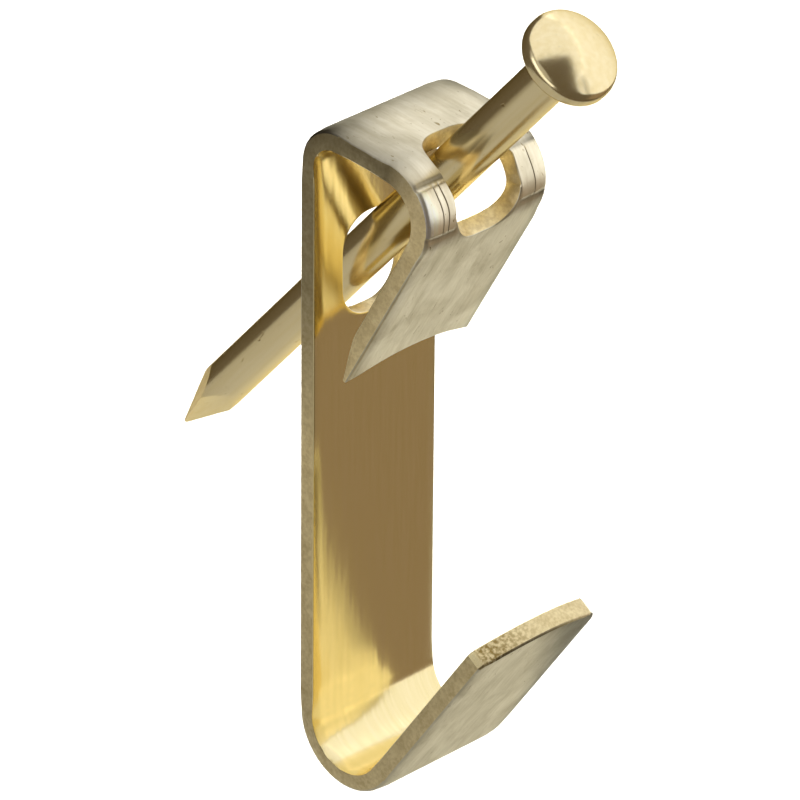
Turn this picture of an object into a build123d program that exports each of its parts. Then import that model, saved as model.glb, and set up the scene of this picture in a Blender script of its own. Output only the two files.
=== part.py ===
from build123d import *
from math import atan, cos, degrees, radians, sin, sqrt
import os

# Picture hook: a brass-plated strip folded into a hook, and the nail that stands in its two slots.
# Millimetres. The wall is the plane Y = 0, the room is on its -Y side, +Z is up and +X runs across
# the strip. The origin is where the middle of the nail enters the wall.

# Strip: sheet whose edges are rolled over on its outer face, as blanking leaves them
strip_width = 7.2
strip_thickness = 0.85
edge_roll = 0.22
corner_radius = 0.35

# Runs and folds of the strip, from the lip up to the free end of the flap
arm_length = 10.0
arm_lean = 35.5
bottom_bend_radius = 1.95
plate_length = 25.6
top_bend_radius = 1.1
top_slope = 6.0
top_length = 2.9
fold_radius = 1.6
flap_lean = 30.0
flap_length = 8.35

# Ends of the strip: the lip bulges and the flap's end is hollowed between two sharp tips
lip_bulge = 0.5
flap_hollow = 0.8

# Nail: round wire with a domed head and a four-sided point
nail_diameter = 2.0
nail_length = 32.5
nail_standout = 16.9
nail_lean = 42.0
nail_fold_offset = 0.39
head_diameter = 4.15
rim_height = 0.43
rim_round = 0.18
dome_height = 0.95
shoulder_radius = 0.5
neck_round = 0.2
point_length = 2.9
point_flat = 0.12

# Slots that the strip hangs on the nail by: one through the plate and one that wraps round the fold
slot_length = 4.65
slot_side_clearance = 0.9
slot_corner_share = 0.8
plate_seat_gap = 0.04
fold_seat_gap = 0.05

# Overrun of every cut, and how near counts as touching
overrun = 2.0
touch = 0.001

# The strip's side line, drawn forward and up from the lip
arm_heading = Vector(-sin(radians(arm_lean)), -cos(radians(arm_lean)))
arm_inward = Vector(arm_heading.Y, -arm_heading.X)
fold_turn = 90 - top_slope + flap_lean


def folded_line(depth):
    """Runs and bends of the strip at a depth under its outer face, from the lip to the flap's end."""
    under = strip_thickness - depth
    lip = depth * arm_inward
    arm = Line(lip, lip + arm_length * arm_heading)
    bottom_bend = JernArc(arm @ 1, arm % 1, bottom_bend_radius + under, arm_lean - 180)
    plate = Line(bottom_bend @ 1, bottom_bend @ 1 + plate_length * (bottom_bend % 1))
    top_bend = JernArc(plate @ 1, plate % 1, top_bend_radius + under, -90 - top_slope)
    top = Line(top_bend @ 1, top_bend @ 1 + top_length * (top_bend % 1))
    fold = JernArc(top @ 1, top % 1, fold_radius + under, -fold_turn)
    flap = Line(fold @ 1, fold @ 1 + flap_length * (fold % 1))
    return arm, bottom_bend, plate, top_bend, top, fold, flap


outer = folded_line(0)
inner = folded_line(strip_thickness)
arm, _, plate, _, top, fold, flap = outer

# The side view stands with the plate's back on the wall, and as high as the nail's line asks:
# the nail passes over the middle of the fold at a set distance
fold_forward = fold.arc_center.X - plate.start_point().X
fold_height = (fold_forward * cos(radians(nail_lean)) - nail_fold_offset) / sin(radians(nail_lean))
side_origin = (0, plate.start_point().X, fold_height - fold.arc_center.Y)
side_view = Plane(origin=side_origin, x_dir=(0, -1, 0), z_dir=(-1, 0, 0))


def face_plane(run, share):
    """Plane on the strip's outer face at a share of a run: Y on along the strip, Z out of the face."""
    heading = run % share
    onward = Vector(0, -heading.X, heading.Y)
    outward = Vector(0, heading.Y, heading.X)
    place = side_view.from_local_coords(run @ share)
    return Plane(origin=place, x_dir=onward.cross(outward), z_dir=outward)


# Folded strip
half_width = strip_width / 2
lip_end = Line(arm @ 0, inner[0] @ 0)
flap_end = Line(flap @ 1, inner[-1] @ 1)
side_face = make_face([*outer, *inner, lip_end, flap_end])
hook = extrude(side_view * side_face, half_width, both=True)

# Ends of the strip, each cut to an arc
lip_radius = (half_width**2 + lip_bulge**2) / (2 * lip_bulge)
hollow_radius = (half_width**2 + flap_hollow**2) / (2 * flap_hollow)
lip_block = Rectangle(strip_width + overrun, 2 * lip_bulge)
lip_waste = lip_block - Pos(0, lip_radius) * Circle(lip_radius)
flap_block = Rectangle(strip_width + overrun, 2 * flap_hollow)
flap_waste = flap_block & Pos(0, hollow_radius - flap_hollow) * Circle(hollow_radius)
end_depth = overrun + strip_thickness
hook -= extrude(face_plane(arm, 0).offset(overrun) * lip_waste, -end_depth)
hook -= extrude(face_plane(flap, 1).offset(overrun) * flap_waste, -end_depth)

# Corners of the lip, the lower two of the edges as long as the strip is thick, then the rolled outer edges
corners = hook.edges().filter_by(lambda edge: abs(edge.length - strip_thickness) < touch)
hook = fillet(corners.sort_by(Axis.Z)[:2], corner_radius)
outer_side = Wire([side_view * run for run in outer])
outer_faces = hook.faces().filter_by(lambda face: outer_side.distance_to(face.center()) < touch)
outer_edges = outer_faces.edges().filter_by(Axis.X, reverse=True)
hook = fillet(outer_edges, edge_roll)

# Slot in the plate: its upper end lies just over the nail at the plate's front
wire_radius = nail_diameter / 2
slot_width = nail_diameter + 2 * slot_side_clearance
slot_corner = slot_corner_share * slot_width / 2
nail_over = strip_thickness * cos(radians(nail_lean)) + wire_radius
slot_top = (nail_over + plate_seat_gap) / sin(radians(nail_lean))
slot_place = Plane(origin=(0, 0, slot_top - slot_length / 2), x_dir=(0, 0, 1), z_dir=(0, 1, 0))
plate_slot = RectangleRounded(slot_length, slot_width, slot_corner)
hook -= extrude(slot_place * plate_slot, strip_thickness + overrun, both=True)

# Slot round the fold: it starts on the top, just behind the nail where that meets the top's inner face,
# and each rounded end is cut square to the flat face that it ends on
nail_to_top = radians(nail_lean - top_slope)
nail_behind = nail_fold_offset + wire_radius - fold_radius * sin(nail_to_top)
slot_on_top = (nail_behind + fold_seat_gap) / cos(nail_to_top)
slot_on_flap = slot_length - slot_on_top - (fold_radius + strip_thickness / 2) * radians(fold_turn)
slot_run = 2 * (fold_radius + strip_thickness)


def slot_tongue(plane, end, onward):
    """Cut with one rounded end at a place along a plane's Y, running on round the fold from there."""
    tongue = Pos(0, end + onward * slot_run / 2) * Rectangle(slot_width, slot_run)
    end_corners = tongue.vertices().sort_by(Axis.Y, reverse=onward < 0)[:2]
    return extrude(plane.offset(overrun) * fillet(end_corners, slot_corner), -overrun - slot_run)


top_tongue = slot_tongue(face_plane(top, 1), -slot_on_top, 1)
flap_tongue = slot_tongue(face_plane(flap, 0), slot_on_flap, -1)
hook -= top_tongue & flap_tongue

# Nail: wire drawn up from its point, whose four ridges rise to the wire's side
tip = nail_standout - nail_length
neck = nail_standout - neck_round
point_slope = degrees(atan((wire_radius / sqrt(2) - point_flat / 2) / point_length))
point_base = Plane.XY.offset(tip) * Rectangle(point_flat, point_flat, rotation=45)
point_sides = extrude(point_base, neck - tip + overrun, taper=-point_slope)
wire_end = tip - overrun
nail = extrude(Plane.XY.offset(wire_end) * Circle(wire_radius), neck - wire_end) & point_sides

# Head: a thin round rim under a low dome, flaring out of the wire
head_radius = head_diameter / 2
rim_top = nail_standout + rim_height
crown = rim_top + dome_height
shoulder_place = head_radius - shoulder_radius
crown_rise = dome_height - shoulder_radius
crown_radius = (shoulder_place**2 + dome_height**2 - shoulder_radius**2) / (2 * crown_rise)
crown_turn = degrees(atan(shoulder_place / (crown_radius - dome_height)))
middle = Polyline((0, crown), (0, neck), (wire_radius, neck))
neck_arc = JernArc(middle @ 1, (0, 1), neck_round, -90)
underside = Line(neck_arc @ 1, (head_radius - rim_round, nail_standout))
rim_arc = JernArc(underside @ 1, (1, 0), rim_round, 90)
rim = Line(rim_arc @ 1, (head_radius, rim_top))
shoulder = JernArc(rim @ 1, (0, 1), shoulder_radius, 90 - crown_turn)
dome = JernArc(shoulder @ 1, shoulder % 1, crown_radius, crown_turn)
head_outline = make_face([middle, neck_arc, underside, rim_arc, rim, shoulder, dome])
nail += revolve(Plane.XZ * head_outline, Axis.Z)
nail = Rot(nail_lean, 0, 0) * nail

os.makedirs("parts", exist_ok=True)
export_step(hook, "parts/hook.step")
export_step(nail, "parts/nail.step")
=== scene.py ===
import bmesh
import bpy
from math import atan2, ceil, cos, degrees, pi, radians, sin, sqrt
from mathutils import Matrix, Vector


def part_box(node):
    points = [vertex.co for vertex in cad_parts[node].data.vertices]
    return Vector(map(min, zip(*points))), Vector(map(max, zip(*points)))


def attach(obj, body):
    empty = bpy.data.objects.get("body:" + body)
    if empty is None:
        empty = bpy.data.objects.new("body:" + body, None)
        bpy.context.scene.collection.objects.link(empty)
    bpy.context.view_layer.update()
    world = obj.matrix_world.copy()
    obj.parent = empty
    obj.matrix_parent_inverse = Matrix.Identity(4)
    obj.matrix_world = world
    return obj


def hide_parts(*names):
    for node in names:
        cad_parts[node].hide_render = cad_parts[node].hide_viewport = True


# A brass-plated picture hook with its nail, as it hangs on a wall: +Z is up, -Y is the room and +X runs
# across the strip.
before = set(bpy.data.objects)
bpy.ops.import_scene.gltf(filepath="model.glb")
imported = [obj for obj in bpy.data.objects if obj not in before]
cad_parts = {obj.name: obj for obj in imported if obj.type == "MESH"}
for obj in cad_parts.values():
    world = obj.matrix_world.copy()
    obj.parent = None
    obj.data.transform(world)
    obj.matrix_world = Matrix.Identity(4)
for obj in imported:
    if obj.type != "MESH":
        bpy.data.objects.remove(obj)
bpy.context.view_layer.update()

# Folded strip: one piece of steel sheet, brass plated. It was punched flat with two slots, which left
# its edges rolled over on the outer face, and was then folded round three bends. It hangs on the nail
# by both slots. Sizes in millimetres.
MM = 0.001
strip_width = 7.2
strip_thickness = 0.85
edge_roll = 0.22
lip_bulge = 0.5
lip_skew = 0.2
lip_corner = 0.2
far_corner_cut = 0.36
flap_hollow = 0.8
slot_length = 4.65
slot_width = 3.8
slot_corner = 1.52
plate_slot_height = 0.173
fold_slot_start = 0.617
arm_lean = 35.5
arm = {"length": 10.0, "turn": 0}
bottom_bend = {"radius": 1.95, "turn": 144.5}
plate = {"length": 25.6, "turn": 0}
top_bend = {"radius": 1.1, "turn": 96.0}
top = {"length": 2.9, "turn": 0}
fold = {"radius": 1.6, "turn": 114.0}
flap = {"length": 8.35, "turn": 0}
runs = [arm, bottom_bend, plate, top_bend, top, fold, flap]


def outward(heading):
    """Direction out of the strip's outer face where the strip has turned by an angle."""
    return Vector((0, -cos(heading), -sin(heading)))


def onward(heading):
    """Direction along the strip, from the lip towards the flap, where it has turned by an angle."""
    return Vector((0, sin(heading), -cos(heading)))


# Where each run starts, on the flat blank and in the folded strip
reach = 0
place = Vector((0, 0, 0))
heading = radians(arm_lean)
for run in runs:
    run.update(start=reach, place=place, heading=heading)
    if run["turn"]:
        outer_radius = run["radius"] + strip_thickness
        run["length"] = (run["radius"] + strip_thickness / 2) * radians(run["turn"])
        run["centre"] = place - outward(heading) * outer_radius
        heading += radians(run["turn"])
        place = run["centre"] + outward(heading) * outer_radius
    else:
        place = place + onward(heading) * run["length"]
    reach += run["length"]
blank_length = reach


def folded(point):
    """Place in the folded strip of a point of the flat blank, whose depth runs down from zero."""
    for run in runs:
        if point.y < run["start"] + run["length"]:
            break
    ahead = point.y - run["start"]
    sideways = Vector((point.x, 0, 0))
    if not run["turn"]:
        return sideways + run["place"] + onward(run["heading"]) * ahead + outward(run["heading"]) * point.z
    turned = run["heading"] + radians(run["turn"]) * ahead / run["length"]
    return sideways + run["centre"] + outward(turned) * (run["radius"] + strip_thickness + point.z)


# The middles of the slots along the blank, and the part of the fold that the die pressed
half_width = strip_width / 2
slot_border = 0.25
slot_half = slot_length / 2 + slot_border
slot_side = slot_width / 2 + slot_border
low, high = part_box("hook")
plate_foot = low.z / MM + bottom_bend["radius"] + strip_thickness
plate_slot = plate["start"] + plate_slot_height - plate_foot
fold_slot = fold["start"] - fold_slot_start + slot_length / 2
slots = [plate_slot, fold_slot]
press_from = 0.34
press_to = 0.825
press_start = fold["start"] + press_from * fold["length"]
press_end = fold["start"] + press_to * fold["length"]
press_lines = [-2.68, -2.33, 2.72]
line_width = 0.04

# The blank is a flat grid with closer rows at the bends, the slots and the pressed marks of the fold.
# Some rows and columns are set, and others fill in where they don't come too near
column_spacing = 0.3
columns_each_side = 10
slot_row_spacing = 0.15
slot_rows_each_side = 18
fold_row_spacing = 0.07
bend_row_spacing = 0.13
flat_row_spacing = 0.45
least_spacing = 0.045
end_row = 0.65
end_clear = 0.6
columns = [side * column for side in (-1, 1) for column in (half_width, slot_side)]
for line in press_lines:
    columns += [line - line_width, line, line + line_width]
free_columns = [column_spacing * step for step in range(-columns_each_side, columns_each_side + 1)]
rows = [0, end_row, blank_length - end_row, blank_length]
rows += [middle + side * slot_half for middle in slots for side in (-1, 1)]
slot_steps = range(-slot_rows_each_side, slot_rows_each_side + 1)
free_rows = [plate_slot + slot_row_spacing * step for step in slot_steps]
for run in runs:
    spacing = bend_row_spacing if run["turn"] else flat_row_spacing
    if run is fold:
        spacing = fold_row_spacing
    count = ceil(run["length"] / spacing)
    run_rows = [run["start"] + run["length"] * step / count for step in range(count)]
    free_rows += [row for row in run_rows if end_clear < row < blank_length - end_clear]
for lines, free_lines in ((rows, free_rows), (columns, free_columns)):
    for line in sorted(free_lines):
        if min(abs(line - other) for other in lines) > least_spacing:
            lines.append(line)
    lines.sort()

grid_half = 0.5
strip = bmesh.new()
bmesh.ops.create_grid(strip, x_segments=len(columns) - 1, y_segments=len(rows) - 1, size=grid_half)
for vert in strip.verts:
    column = round((vert.co.x + grid_half) * (len(columns) - 1))
    row = round((vert.co.y + grid_half) * (len(rows) - 1))
    vert.co = (columns[column], rows[row], 0)


def in_slot(point, middles, margin=0):
    """Whether a point of the flat blank is in a slot or its border, for slots with these middles."""
    along = any(abs(point.y - middle) < slot_half + margin for middle in middles)
    return along and abs(point.x) < slot_side + margin


# Each slot: a block of faces comes out, and the rim of the gap is drawn in to a round-cornered hole
near = 0.01
rim_cuts = 3
corner_x = slot_width / 2 - slot_corner
corner_y = slot_length / 2 - slot_corner
for middle in slots:
    inside = [face for face in strip.faces if in_slot(face.calc_center_median(), [middle])]
    bmesh.ops.delete(strip, geom=inside, context="FACES")
    border = []
    for edge in strip.edges:
        centre = (edge.verts[0].co + edge.verts[1].co) / 2
        if edge.is_boundary and in_slot(centre, [middle], near):
            border.append(edge)
    drawn = bmesh.ops.extrude_edge_only(strip, edges=border)["geom"]
    rim = set(part for part in drawn if isinstance(part, bmesh.types.BMVert))
    for vert in rim:
        across = max(-corner_x, min(corner_x, vert.co.x))
        along = max(-corner_y, min(corner_y, vert.co.y - middle))
        corner_middle = Vector((across, middle + along, 0))
        vert.co = corner_middle + (vert.co - corner_middle).normalized() * slot_corner
    spokes = [edge for edge in strip.edges if len(rim & set(edge.verts)) == 1]
    bmesh.ops.subdivide_edges(strip, edges=spokes, cuts=rim_cuts, use_grid_fill=True)

# The lip bulges and falls back towards its far corner, which is cut back. The flap's end is hollow
# between its tips
end_fade = 2.0
lip_radius = (half_width**2 + lip_bulge**2) / (2 * lip_bulge)
hollow_radius = (half_width**2 + flap_hollow**2) / (2 * flap_hollow)
for vert in strip.verts:
    x = vert.co.x
    near_lip = max(0, 1 - vert.co.y / end_fade)
    near_end = max(0, 1 - (blank_length - vert.co.y) / end_fade)
    vert.co.y += near_lip * (lip_radius - sqrt(lip_radius**2 - x**2))
    vert.co.y += near_lip * far_corner_cut * max(0, x - columns[-2]) / (columns[-1] - columns[-2])
    vert.co.y += near_lip * lip_skew * max(0, x / half_width) ** 2
    vert.co.y -= near_end * (flap_hollow - hollow_radius + sqrt(hollow_radius**2 - x**2))

# Thickness, which thins towards the tips of the flap
tip_thinning = 0.62
tip_run = 2.4
tip_power = 1.2
tip_reach = 0.9


def eased(share):
    """A share held between zero and one, with a soft start and a soft end."""
    share = max(0, min(1, share))
    return share * share * (3 - 2 * share)


sheet = bmesh.ops.extrude_face_region(strip, geom=strip.faces[:])["geom"]
for vert in [part for part in sheet if isinstance(part, bmesh.types.BMVert)]:
    to_tip = max(0, 1 - (blank_length - vert.co.y) / tip_run) ** tip_power
    to_tip *= eased(1 - (half_width - abs(vert.co.x)) / tip_reach)
    vert.co.z = tip_thinning * to_tip - strip_thickness
bmesh.ops.recalc_face_normals(strip, faces=strip.faces[:])

# The corners of the lip are cut straight, then blanking's roll goes round the outer face, and every
# other edge is only broken
touch = 0.001
upright_height = 0.2
corner_angle = 0.5
wall_tilt = 0.3
outer_depth = 0.1
broken_edge = 0.04
lip_uprights = []
for edge in strip.edges:
    first, second = edge.verts
    upright = abs(first.co.z - second.co.z) > upright_height and abs(first.co.x - second.co.x) < near
    at_lip = first.co.y < arm["length"] and half_width - abs(first.co.x) < touch
    if upright and at_lip and edge.calc_face_angle(0) > corner_angle:
        lip_uprights.append(edge)
bmesh.ops.bevel(strip, geom=lip_uprights, offset=lip_corner, offset_type="OFFSET", segments=1, profile=0.5,
                affect="EDGES", clamp_overlap=True, material=-1)
strip.normal_update()
outline = []
sharp_edges = []
for edge in strip.edges:
    walls = [face for face in edge.link_faces if abs(face.normal.z) < wall_tilt]
    centre = (edge.verts[0].co + edge.verts[1].co) / 2
    if len(walls) == 1:
        if centre.z > -outer_depth and not in_slot(centre, slots):
            outline.append(edge)
        else:
            sharp_edges.append(edge)
bmesh.ops.bevel(strip, geom=outline, offset=edge_roll, offset_type="OFFSET", segments=5, profile=0.5,
                affect="EDGES", clamp_overlap=True, material=-1)
sharp_edges = [edge for edge in sharp_edges if edge.is_valid]
bmesh.ops.bevel(strip, geom=sharp_edges, offset=broken_edge, offset_type="OFFSET", segments=2, profile=0.5,
                affect="EDGES", clamp_overlap=True, material=-1)

# The folding die pressed the two bands beside the slot: a crease across each end, and lines between.
# The outer face falls off a little towards its edges
press_rise = 0.03
press_shoulder = 0.16
line_depth = 0.022
line_wander = 0.05
wander_waves = 7
wander_reach = 0.6
crown_reach = 0.9
crown_drop = 0.05
crown_depth = 0.3

# The outer face carries painted light and shade, as a share of its colour: painted shade along the edges, on
# the far side of the arm, over the top bend and on the near side of the top, painted sheen on the pressed
# bands with painted shade in their lines and end creases, and a painted highlight along the near edge of the
# fold
far_edge_painted_shade = 0.4
near_edge_painted_shade = 0.15
arm_painted_shade = 0.8
arm_shade_start = 1
arm_shade_slant = 0.45
arm_shade_fade = 3
bend_painted_shade = 0.35
bend_shade_end = top["start"] + 1
bend_shade_fade = 1.6
top_painted_shade = 0.3
top_shade_start = 0.8
top_shade_fade = 2
top_shade_end = fold["start"] + 1
fold_painted_highlight = 0.45
fold_highlight_reach = 0.4
fold_highlight_fade = 2
band_painted_sheen = 0.3
near_band_painted_sheen = 0.2
far_band_painted_sheen = 0.5
line_painted_shade = 0.55
crease_painted_shade = 0.3
darkest_painted_shade = 0.12
outer_painted_light = {}
for vert in strip.verts:
    x, y, z = vert.co
    side = abs(x)
    rolled = eased((side - half_width + crown_reach) / crown_reach)
    # Painted shade along the rolled edges, on the far side of the arm, over the top bend and on the top's
    # near side
    painted_brightness = 1 - (far_edge_painted_shade if x > 0 else near_edge_painted_shade) * rolled
    if y < plate["start"]:
        painted_brightness -= arm_painted_shade * eased((x + arm_shade_start - arm_shade_slant * y) / arm_shade_fade)
    if top_bend["start"] < y < bend_shade_end:
        painted_brightness -= bend_painted_shade * eased((bend_shade_end - y) / bend_shade_fade)
    if top_bend["start"] < y < top_shade_end:
        painted_brightness -= top_painted_shade * eased((-x - top_shade_start) / top_shade_fade) * eased(top_shade_end - y)
    # Painted highlight along the near edge of the fold
    if x < 0:
        in_fold = eased(2 * (y - fold["start"]) / fold["length"])
        in_fold *= eased((flap["start"] + fold_highlight_fade - y) / fold_highlight_fade)
        painted_brightness += fold_painted_highlight * in_fold * eased((side - half_width + fold_highlight_reach) / fold_highlight_reach)
    painted_brightness = max(darkest_painted_shade, painted_brightness)
    if z > -crown_depth:
        surface = 1 + z / crown_depth
        vert.co.z -= crown_drop * rolled * rolled * surface
        if side > slot_width / 2 - near:
            along = (y - press_start) / (press_end - press_start)
            inside = eased((y - press_start) / press_shoulder) * eased((press_end - y) / press_shoulder)
            crease = max(eased(1 - abs(y - end) / press_shoulder) for end in (press_start, press_end))
            line = max(eased(1 - abs(x - middle) / line_width) for middle in press_lines)
            vert.co.z += (press_rise * inside - line_depth * line * inside - press_rise * crease) * surface
            wander = sin(wander_waves * along + x) * eased((half_width - side) / wander_reach)
            vert.co.x += line_wander * inside * wander
            # Painted sheen on the pressed bands, and painted shade in their lines and at their end creases
            band_edge_painted_sheen = near_band_painted_sheen if x < 0 else far_band_painted_sheen
            painted_brightness += (band_painted_sheen + band_edge_painted_sheen * rolled - line_painted_shade * line) * inside - crease_painted_shade * crease
    outer_painted_light[vert] = painted_brightness

# Folding drives the inner side of each bend out past the strip's edge and draws the outer side in, most
# of all on the pressed fold
bend_bulge = 0.07
bulge_reach = 1.2
bulge_fade = 0.8
fold_draw = 3
for vert in strip.verts:
    for bend in (bottom_bend, top_bend, fold):
        ahead = vert.co.y - bend["start"]
        in_bend = eased(1 + ahead / bulge_fade) * eased(1 + (bend["length"] - ahead) / bulge_fade)
        near_edge = eased((abs(vert.co.x) - half_width + bulge_reach) / bulge_reach)
        depth_share = -2 * vert.co.z / strip_thickness - 1
        if bend is fold and depth_share < 0:
            depth_share *= -fold_draw * depth_share
        vert.co.x += (1 if vert.co.x > 0 else -1) * bend_bulge * in_bend * near_edge * depth_share

# The finish of each face, and the painted light and shade of the other finishes: the sheared edge has its
# painted shade and highlight at places along the blank, of which the last is past the tips, and its own on
# the lip, where it is also more torn, and in the slots
outer_finish, inner_finish, edge_finish = 0, 1, 2
edge_painted_light = [
    (0, 1.1),
    (arm["length"], 1.05),
    (plate["start"], 0.95),
    (plate["start"] + 12.5, 1.35),
    (plate["start"] + 20, 0.62),
    (fold["start"], 0.5),
    (fold["start"] + 0.45 * fold["length"], 1.3),
    (fold["start"] + 0.7 * fold["length"], 1.4),
    (blank_length + 1, 1.35),
]
slot_painted_highlight = 1.35
# Painted shade along the lip's rolled edge, with painted highlights towards its far side and at its near
# corner
lip_painted_shade = 0.3
lip_painted_highlight = 0.8
lip_highlight_start = 0.5
lip_highlight_fade = 3.5
lip_end_painted_highlight = 0.5
lip_end_start = 2.4
lip_end_fade = 0.8
# Painted shade on the inner face of the arm towards its far edge
arm_inner_painted_shade = 0.45
arm_inner_start = 2
arm_inner_fade = 1.4
edge_torn = 0.2
lip_torn = 0.7
lip_torn_fade = 3
lip_run = 1
facet_turn = (0.3, 0.95)
strip.normal_update()
flat = strip.loops.layers.uv.new("flat")
# A layer of painted light and shade, each a share of its finish's colour
painted_light = strip.loops.layers.float.new("painted_light")
torn = strip.loops.layers.float.new("torn")
for face in strip.faces:
    face.smooth = True
    centre = face.calc_center_median()
    wall = abs(face.normal.z) < wall_tilt
    lip_facet = centre.y < lip_run and wall and facet_turn[0] < abs(face.normal.x) < facet_turn[1]
    slot_wall = wall and in_slot(centre, slots)
    from_lip = centre.y - lip_radius + sqrt(lip_radius**2 - min(abs(centre.x), half_width)**2)
    lip_roll = from_lip < edge_roll and face.normal.z > wall_tilt
    face.material_index = outer_finish if face.normal.z > 0 else inner_finish
    if lip_facet:
        face.material_index = inner_finish
    elif wall or lip_roll:
        face.material_index = edge_finish
    for loop in face.loops:
        x = loop.vert.co.x
        along = loop.vert.co.y
        loop[flat].uv = (x, along)
        loop[torn] = edge_torn + lip_torn * eased(-x / lip_torn_fade) * (from_lip < edge_roll)
        if face.material_index == outer_finish:
            loop[painted_light] = outer_painted_light[loop.vert]
        elif face.material_index == inner_finish:
            # Painted shade on the arm's inner face towards its far edge
            on_arm = along < arm["length"] and not lip_facet
            loop[painted_light] = 1 - arm_inner_painted_shade * eased((x - arm_inner_start) / arm_inner_fade) * on_arm
        # Painted shade and highlights on the lip's rolled edge
        elif lip_roll:
            loop[painted_light] = lip_painted_shade + lip_painted_highlight * eased((x + lip_highlight_start) / lip_highlight_fade)
            loop[painted_light] += lip_end_painted_highlight * eased((-lip_end_start - x) / lip_end_fade)
        # Painted highlight on the walls of the slots, and painted shade and highlight along the sheared edge
        elif slot_wall:
            loop[painted_light] = slot_painted_highlight
        else:
            for (start, first), (end, last) in zip(edge_painted_light, edge_painted_light[1:]):
                if start <= along <= end:
                    loop[painted_light] = first + (last - first) * (along - start) / (end - start)

# The folding itself, and the strip's place with the plate's back on the wall
for vert in strip.verts:
    vert.co = folded(vert.co)
shift_y = high.y / MM - max(vert.co.y for vert in strip.verts)
shift_z = low.z / MM - min(vert.co.z for vert in strip.verts)
bmesh.ops.translate(strip, verts=strip.verts[:], vec=(0, shift_y, shift_z))
bmesh.ops.scale(strip, verts=strip.verts[:], vec=(MM, MM, MM))
bmesh.ops.recalc_face_normals(strip, faces=strip.faces[:])


def scene_object(mesh, name):
    """Turns a bmesh into an object of the scene, with its edges sharp where they break clearly."""
    sharp_angle = 0.42
    for edge in mesh.edges:
        edge.smooth = edge.calc_face_angle(0) < sharp_angle
    data = bpy.data.meshes.new(name)
    mesh.to_mesh(data)
    mesh.free()
    piece = bpy.data.objects.new(name, data)
    bpy.context.scene.collection.objects.link(piece)
    return piece


hook = scene_object(strip, "folded_strip")
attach(hook, "root")
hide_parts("hook")


def linear(colour):
    """A colour written as an sRGB hex value, as the linear colour that the shader takes."""
    parts = [int(colour[i:i + 2], 16) / 255 for i in (1, 3, 5)]
    return [c / 12.92 if c <= 0.04045 else ((c + 0.055) / 1.055) ** 2.4 for c in parts] + [1]


def add(tree, kind, links=None, stops=None, **settings):
    """Adds a node: settings name its properties or input values, links the node or socket of each input."""
    node = tree.nodes.new(kind)
    for name, value in settings.items():
        if hasattr(node, name):
            setattr(node, name, value)
        else:
            node.inputs[name.replace("_", " ")].default_value = value
    for name, source in (links or {}).items():
        socket = source if isinstance(source, bpy.types.NodeSocket) else source.outputs[0]
        tree.links.new(socket, node.inputs[name])
    if stops:
        for element, (position, colour) in zip(node.color_ramp.elements, stops):
            element.position = position
            element.color = linear(colour)
    return node


def new_material(name):
    """An empty node material and its tree."""
    material = bpy.data.materials.new(name)
    material.use_nodes = True
    material.node_tree.nodes.clear()
    return material, material.node_tree


# Satin brass of the outer face, plated on the sheet and brushed along it. The eye gets a pale, greyish
# satin, cloudy at the size of two millimetres, with fine brushing and a few dark nicks; painted shade and
# painted sheen from the strip multiply its colour.
# The real brushing is finer, and is drawn as coarse as it needs to show. Sizes across and along the strip.
cloud_size = (1.3, 2.2, 1)
brush_size = (0.16, 2.4, 1)
nick_size = (0.2, 0.5, 1)
cloud_height = 0.02 * MM
brush_height = 0.002 * MM

# The colour inputs and the colour output of a Mix node, and the settings with which it multiplies them
first_colour, second_colour, mixed = 6, 7, 2
multiply = {"data_type": "RGBA", "blend_type": "MULTIPLY"}
satin, tree = new_material("satin_brass")
flat_map = add(tree, "ShaderNodeUVMap", uv_map="flat")
cloud_place = add(tree, "ShaderNodeMapping", {"Vector": flat_map}, vector_type="TEXTURE", Scale=cloud_size)
cloud = add(tree, "ShaderNodeTexNoise", {"Vector": cloud_place}, Scale=1, Detail=5, Roughness=0.62,
            Distortion=0.6)
brush_place = add(tree, "ShaderNodeMapping", {"Vector": flat_map}, vector_type="TEXTURE", Scale=brush_size)
brush = add(tree, "ShaderNodeTexNoise", {"Vector": brush_place}, Scale=1, Detail=3, Roughness=0.6)
nick_place = add(tree, "ShaderNodeMapping", {"Vector": flat_map}, vector_type="TEXTURE", Scale=nick_size)
nick = add(tree, "ShaderNodeTexNoise", {"Vector": nick_place}, Scale=1, Detail=2, Roughness=0.5,
           Distortion=1.2)
cloud_colour = add(tree, "ShaderNodeValToRGB", {"Fac": cloud}, [(0.32, "#D3CCB5"), (0.66, "#EDE7D3")])
brush_colour = add(tree, "ShaderNodeValToRGB", {"Fac": brush}, [(0.3, "#F1EFE9"), (0.65, "#FFFFFF")])
nick_colour = add(tree, "ShaderNodeValToRGB", {"Fac": nick}, [(0.68, "#FFFFFF"), (0.76, "#BDB297")])
# The strip's painted light and shade, which multiplies the colour
painted_light_map = add(tree, "ShaderNodeAttribute", attribute_name="painted_light")
brushed = add(tree, "ShaderNodeMix", {first_colour: cloud_colour, second_colour: brush_colour}, Factor=1.0,
              **multiply)
nicked = add(tree, "ShaderNodeMix", {first_colour: brushed.outputs[mixed], second_colour: nick_colour},
             Factor=1.0, **multiply)
painted_lit_colour = add(tree, "ShaderNodeMix",
            {first_colour: nicked.outputs[mixed], second_colour: painted_light_map.outputs["Fac"]},
            Factor=1.0, **multiply)
dull = add(tree, "ShaderNodeMapRange", {"Value": cloud}, From_Min=0.3, From_Max=0.7, To_Min=0.4, To_Max=0.28)
cloud_bump = add(tree, "ShaderNodeBump", {"Height": cloud}, Distance=cloud_height)
brush_bump = add(tree, "ShaderNodeBump", {"Height": brush, "Normal": cloud_bump}, Distance=brush_height)
shader = add(tree, "ShaderNodeBsdfPrincipled",
             {"Base Color": painted_lit_colour.outputs[mixed], "Roughness": dull, "Normal": brush_bump},
             Metallic=1.0, Specular_Tint=linear("#DDDACB"))
add(tree, "ShaderNodeOutputMaterial", {"Surface": shader})
hook.data.materials.append(satin)

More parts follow.
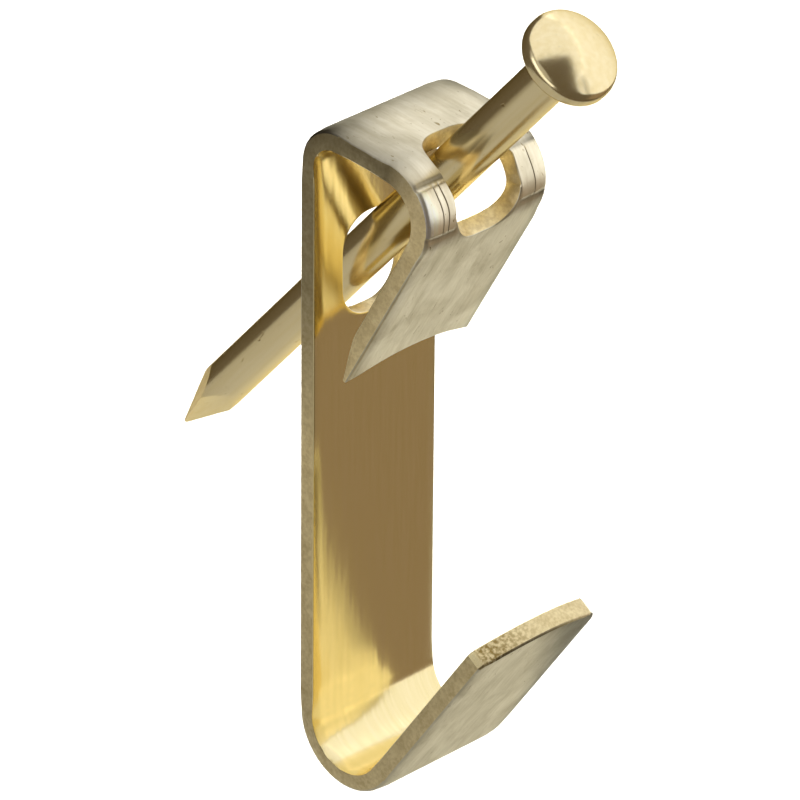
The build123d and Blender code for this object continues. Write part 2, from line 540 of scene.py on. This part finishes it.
# Bright brass of the inner face and of the lip's cut corners, plated on smooth rolled sheet. The eye gets
# yellow metal, nearly a mirror, whose rolling lines along the strip make every reflection wavy. The lines
# are drawn coarser than they are.
wave_size = (0.9, 6, 1)
streak_size = (0.2, 4, 1)
wave_height = 0.02 * MM
streak_height = 0.0003 * MM
bright, tree = new_material("bright_brass")
flat_map = add(tree, "ShaderNodeUVMap", uv_map="flat")
wave_place = add(tree, "ShaderNodeMapping", {"Vector": flat_map}, vector_type="TEXTURE", Scale=wave_size)
wave = add(tree, "ShaderNodeTexNoise", {"Vector": wave_place}, Scale=1, Detail=2, Roughness=0.5)
streak_place = add(tree, "ShaderNodeMapping", {"Vector": flat_map}, vector_type="TEXTURE", Scale=streak_size)
streak = add(tree, "ShaderNodeTexNoise", {"Vector": streak_place}, Scale=1, Detail=4, Roughness=0.65)
streak_colour = add(tree, "ShaderNodeValToRGB", {"Fac": streak}, [(0.3, "#F0E1AB"), (0.65, "#F5E7B8")])
gloss = add(tree, "ShaderNodeMapRange", {"Value": streak}, From_Min=0.3, From_Max=0.7, To_Min=0.2,
            To_Max=0.15)
wave_bump = add(tree, "ShaderNodeBump", {"Height": wave}, Distance=wave_height)
streak_bump = add(tree, "ShaderNodeBump", {"Height": streak, "Normal": wave_bump}, Distance=streak_height)
# The strip's painted light and shade, which multiplies the colour
painted_light_map = add(tree, "ShaderNodeAttribute", attribute_name="painted_light")
painted_lit_colour = add(tree, "ShaderNodeMix", {first_colour: streak_colour, second_colour: painted_light_map.outputs["Fac"]},
            Factor=1.0, **multiply)
shader = add(tree, "ShaderNodeBsdfPrincipled",
             {"Base Color": painted_lit_colour.outputs[mixed], "Roughness": gloss, "Normal": streak_bump}, Metallic=1.0)
add(tree, "ShaderNodeOutputMaterial", {"Surface": shader})
hook.data.materials.append(bright)

# Sheared edge of the blank and of its slots, plated over. The eye gets a rough tan band, cloudy at half a
# millimetre, with specks that show most on the lip, where the metal is torn.
grain_size = 0.7 * MM
speck_size = 0.16 * MM
grain_height = 0.006 * MM
speck_height = 0.0025 * MM
sheared, tree = new_material("sheared_brass")
place_map = add(tree, "ShaderNodeTexCoord")
grain_place = add(tree, "ShaderNodeMapping", {"Vector": place_map.outputs["Object"]}, vector_type="TEXTURE",
                  Scale=(grain_size, grain_size, grain_size))
grain = add(tree, "ShaderNodeTexNoise", {"Vector": grain_place}, Scale=1, Detail=5, Roughness=0.65)
speck_place = add(tree, "ShaderNodeMapping", {"Vector": place_map.outputs["Object"]}, vector_type="TEXTURE",
                  Scale=(speck_size, speck_size, speck_size))
speck = add(tree, "ShaderNodeTexNoise", {"Vector": speck_place}, Scale=1, Detail=2, Roughness=0.5)
grain_colour = add(tree, "ShaderNodeValToRGB", {"Fac": grain}, [(0.32, "#CFBF93"), (0.66, "#E2D4AA")])
speck_colour = add(tree, "ShaderNodeValToRGB", {"Fac": speck}, [(0.38, "#A5966A"), (0.62, "#FFFFFF")])
torn_map = add(tree, "ShaderNodeAttribute", attribute_name="torn")
speckled = add(tree, "ShaderNodeMix",
               {"Factor": torn_map.outputs["Fac"], first_colour: grain_colour, second_colour: speck_colour},
               **multiply)
coarse = add(tree, "ShaderNodeMapRange", {"Value": speck}, From_Min=0.35, From_Max=0.65, To_Min=0.5,
             To_Max=0.4)
grain_bump = add(tree, "ShaderNodeBump", {"Height": grain}, Distance=grain_height)
speck_bump = add(tree, "ShaderNodeBump", {"Height": speck, "Normal": grain_bump}, Distance=speck_height)
# The strip's painted light and shade, which multiplies the colour
painted_light_map = add(tree, "ShaderNodeAttribute", attribute_name="painted_light")
painted_lit_colour = add(tree, "ShaderNodeMix",
            {first_colour: speckled.outputs[mixed], second_colour: painted_light_map.outputs["Fac"]},
            Factor=1.0, **multiply)
shader = add(tree, "ShaderNodeBsdfPrincipled",
             {"Base Color": painted_lit_colour.outputs[mixed], "Roughness": coarse, "Normal": speck_bump}, Metallic=1.0)
add(tree, "ShaderNodeOutputMaterial", {"Surface": shader})
hook.data.materials.append(sheared)

# Wire nail: drawn steel wire, brass plated, with an upset, domed head and a point that four dies pinched
# off. It stands in both slots of the strip, and leans down into the wall. Sizes in millimetres, and
# heights along the nail from where its middle enters the wall.
nail_radius = 1.0
nail_length = 32.5
nail_lean = 42.0
head_under = 16.9
nail_tip = head_under - nail_length
head_radius = 2.075
rim_height = 0.43
rim_round = 0.18
dome_height = 0.95
shoulder_radius = 0.5
neck_round = 0.2
point_length = 2.9
point_flat = 0.12
shank_steps = 60
round_steps = 6
shoulder_steps = 10
dome_steps = 16
turn_steps = 72
merge_distance = 0.0005


def arc(centre, radius, first, last, steps):
    """Points of an arc in the plane of the nail's outline, from one angle to another in degrees."""
    angles = [radians(first + (last - first) * i / steps) for i in range(steps + 1)]
    return [(centre[0] + radius * cos(a), centre[1] + radius * sin(a)) for a in angles]


shoulder_place = head_radius - shoulder_radius
neck = head_under - neck_round
rim_top = head_under + rim_height
crown_rise = dome_height - shoulder_radius
crown_radius = (shoulder_place**2 + dome_height**2 - shoulder_radius**2) / (2 * crown_rise)
crown_middle = rim_top + dome_height - crown_radius
crown_end = degrees(atan2(rim_top - crown_middle, shoulder_place))
nail_side = [(0, nail_tip)]
nail_side += [(nail_radius, nail_tip + (neck - nail_tip) * i / shank_steps) for i in range(shank_steps)]
nail_side += arc((nail_radius + neck_round, neck), neck_round, 180, 90, round_steps)
nail_side += arc((head_radius - rim_round, head_under + rim_round), rim_round, -90, 0, round_steps)
nail_side += arc((shoulder_place, rim_top), shoulder_radius, 0, crown_end, shoulder_steps)
nail_side += arc((0, crown_middle), crown_radius, crown_end, 90, dome_steps)[1:]
nail = bmesh.new()
points = [nail.verts.new((radius, 0, height)) for radius, height in nail_side]
for first, second in zip(points, points[1:]):
    nail.edges.new((first, second))
bmesh.ops.spin(nail, geom=nail.verts[:] + nail.edges[:], cent=(0, 0, 0), axis=(0, 0, 1), angle=2 * pi,
               steps=turn_steps, use_merge=True)
bmesh.ops.remove_doubles(nail, verts=nail.verts[:], dist=merge_distance)

# The four flats of the point, whose ridges rise to the wire's side
slope = (nail_radius / sqrt(2) - point_flat / 2) / point_length
for quarter in range(4):
    turn = radians(45 + 90 * quarter)
    side = Vector((cos(turn), sin(turn), 0))
    on_flat = side * point_flat / 2 + Vector((0, 0, nail_tip))
    geometry = nail.verts[:] + nail.edges[:] + nail.faces[:]
    bmesh.ops.bisect_plane(nail, geom=geometry, plane_co=on_flat, plane_no=side - Vector((0, 0, slope)),
                           clear_outer=True)
    bmesh.ops.holes_fill(nail, edges=[edge for edge in nail.edges if edge.is_boundary], sides=0)
bmesh.ops.recalc_face_normals(nail, faces=nail.faces[:])
for face in nail.faces:
    face.smooth = True
lean = Matrix.Rotation(radians(nail_lean), 4, "X")
bmesh.ops.transform(nail, matrix=Matrix.Scale(MM, 4) @ lean, verts=nail.verts[:])
wire_nail = scene_object(nail, "wire_nail")
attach(wire_nail, "root")
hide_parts("nail")

# Drawn wire under a plating of brass. The eye gets a warm shine broken into fine lines along the wire,
# with a few dull flecks. The lines are drawn coarser than they are.
line_size = (0.3 * MM, 0.3 * MM, 8 * MM)
fleck_size = (0.3 * MM, 0.3 * MM, 0.7 * MM)
line_height = 0.0025 * MM
fleck_height = 0.02 * MM
along_nail = (radians(nail_lean), 0, 0)
drawn, tree = new_material("drawn_brass_wire")
place_map = add(tree, "ShaderNodeTexCoord")
line_place = add(tree, "ShaderNodeMapping", {"Vector": place_map.outputs["Object"]}, vector_type="TEXTURE",
                 Rotation=along_nail, Scale=line_size)
line = add(tree, "ShaderNodeTexNoise", {"Vector": line_place}, Scale=1, Detail=4, Roughness=0.6)
fleck_place = add(tree, "ShaderNodeMapping", {"Vector": place_map.outputs["Object"]}, vector_type="TEXTURE",
                  Rotation=along_nail, Scale=fleck_size)
fleck = add(tree, "ShaderNodeTexNoise", {"Vector": fleck_place}, Scale=1, Detail=3, Roughness=0.6,
            Distortion=0.8)
line_colour = add(tree, "ShaderNodeValToRGB", {"Fac": line}, [(0.3, "#F1E0AF"), (0.65, "#F6E8BE")])
fleck_colour = add(tree, "ShaderNodeValToRGB", {"Fac": fleck}, [(0.68, "#FFFFFF"), (0.8, "#B8A680")])
flecked = add(tree, "ShaderNodeMix", {first_colour: line_colour, second_colour: fleck_colour}, Factor=1.0,
              **multiply)
gloss = add(tree, "ShaderNodeMapRange", {"Value": line}, From_Min=0.3, From_Max=0.7, To_Min=0.22,
            To_Max=0.18)
fleck_bump = add(tree, "ShaderNodeBump", {"Height": fleck_colour}, Distance=fleck_height)
line_bump = add(tree, "ShaderNodeBump", {"Height": line, "Normal": fleck_bump}, Distance=line_height)
shader = add(tree, "ShaderNodeBsdfPrincipled",
             {"Base Color": flecked.outputs[mixed], "Roughness": gloss, "Normal": line_bump},
             Metallic=1.0, Specular_Tint=linear("#C8BA94"))
add(tree, "ShaderNodeOutputMaterial", {"Surface": shader})
wire_nail.data.materials.append(drawn)

# Floor: a flat sheet of white paper, laid some way under the part and out behind it, so that it fills
# the view. It belongs to the studio and not to the part. Its sizes and those of the lamps are in metres.
floor_width = 0.28
floor_depth = 0.19
floor_place = (0.01, 0.065, -0.06)
floor_mesh = bmesh.new()
bmesh.ops.create_grid(floor_mesh, x_segments=1, y_segments=1, size=0.5)
bmesh.ops.scale(floor_mesh, verts=floor_mesh.verts[:], vec=(floor_width, floor_depth, 1))
bmesh.ops.translate(floor_mesh, verts=floor_mesh.verts[:], vec=floor_place)
floor = scene_object(floor_mesh, "floor")

# White paper, uncoated. The eye gets an even, matt white with hardly any cloud in it.
fibre_size = 2 * MM
paper, tree = new_material("white_paper")
place_map = add(tree, "ShaderNodeTexCoord")
fibre_place = add(tree, "ShaderNodeMapping", {"Vector": place_map.outputs["Object"]}, vector_type="TEXTURE",
                  Scale=(fibre_size, fibre_size, fibre_size))
fibre = add(tree, "ShaderNodeTexNoise", {"Vector": fibre_place}, Scale=1, Detail=3, Roughness=0.6,
            Distortion=0.8)
fibre_colour = add(tree, "ShaderNodeValToRGB", {"Fac": fibre}, [(0.3, "#CDCBC4"), (0.7, "#D1CFC8")])
shader = add(tree, "ShaderNodeBsdfPrincipled", {"Base Color": fibre_colour}, Roughness=0.9)
add(tree, "ShaderNodeOutputMaterial", {"Surface": shader})
floor.data.materials.append(paper)

# Studio light: seven plain soft lamps round the part and one low over the paper behind it, in a dim, warm
# room. The polished brass mirrors the lamps, and the room where there is none.
world = bpy.data.worlds.new("room")
bpy.context.scene.world = world
world.use_nodes = True
world.node_tree.nodes["Background"].inputs["Color"].default_value = linear("#645A4C")
world.node_tree.nodes["Background"].inputs["Strength"].default_value = 1.0


def softbox(name, place, aim, along, width, height, radiance, spread=180, colour="#FFFFFF"):
    """A rectangular lamp of an even brightness that faces a point, with its width along a direction."""
    data = bpy.data.lights.new(name, "AREA")
    data.shape = "RECTANGLE"
    data.size = width
    data.size_y = height
    data.energy = radiance * pi * width * height
    data.spread = radians(spread)
    data.color = linear(colour)[:3]
    lamp = bpy.data.objects.new(name, data)
    backward = (Vector(place) - Vector(aim)).normalized()
    upward = backward.cross(Vector(along)).normalized()
    turn = Matrix((upward.cross(backward), upward, backward)).transposed()
    lamp.matrix_world = Matrix.Translation(place) @ turn.to_4x4()
    bpy.context.scene.collection.objects.link(lamp)


softbox("side", place=(0.30, -0.17, 0.14), aim=(0, -0.17, 0.14), along=(0, 1, 0),
        width=1.14, height=0.5, radiance=0.98)
softbox("overhead", place=(-0.03, 0.105, 0.37), aim=(-0.03, 0.105, 0), along=(0.906, -0.423, 0),
        width=0.58, height=0.56, radiance=0.87)
softbox("front", place=(0.21, -0.42, 0.37), aim=(0.21, -0.42, 0), along=(1, 0, 0),
        width=0.18, height=0.96, radiance=0.9)
softbox("front_low", place=(0.21, -0.9, 0.13), aim=(0.21, 0, 0.13), along=(1, 0, 0),
        width=0.18, height=0.48, radiance=0.85)
softbox("left", place=(-0.36, 0.0, 0.21), aim=(0, 0.0, 0.21), along=(0, 1, 0),
        width=0.6, height=0.3, radiance=0.35)
softbox("bounce", place=(0.22, -0.22, -0.17), aim=(0, 0.0, -0.01), along=(1, 1, 0),
        width=0.26, height=0.22, radiance=0.155, colour="#FFD7AB")
softbox("kicker", place=(-0.27, -0.017, 0.021), aim=(0, -0.0125, 0.0135), along=(0, -0.318, -0.259),
        width=0.38, height=0.11, radiance=1.15)
softbox("background", place=(0.08, 0.08, -0.005), aim=(0.08, 0.08, -0.06), along=(1, -1, 0),
        width=0.08, height=0.15, radiance=2.6, spread=110)

# Camera: a long lens a third of a metre away, above the part and to its left, at the photograph's viewing
# angle. Its three directions are those of the picture, and its place is in millimetres.
right = Vector((0.69652, -0.71753, 0))
up = Vector((0.33111, 0.32142, 0.88716))
toward = Vector((-0.63656, -0.61793, 0.46146))
roll = radians(0.476)
part_middle = Vector((0, -2.16, -8.552))
shift_right = 0.108
shift_up = 2.30
distance = 340.3
camera_data = bpy.data.cameras.new("camera")
camera_data.sensor_width = 36.0
camera_data.lens = 367.9
camera_data.clip_start = 0.01
camera_data.clip_end = 20.0
camera = bpy.data.objects.new("camera", camera_data)
bpy.context.scene.collection.objects.link(camera)
bpy.context.scene.camera = camera
view_right = right * cos(roll) + up * sin(roll)
view_up = up * cos(roll) - right * sin(roll)
seat = part_middle + right * shift_right + up * shift_up + toward * distance
turn = Matrix((view_right, view_up, toward)).transposed()
camera.matrix_world = Matrix.Translation(seat * MM) @ turn.to_4x4()

bpy.context.scene.view_settings.view_transform = "Standard"
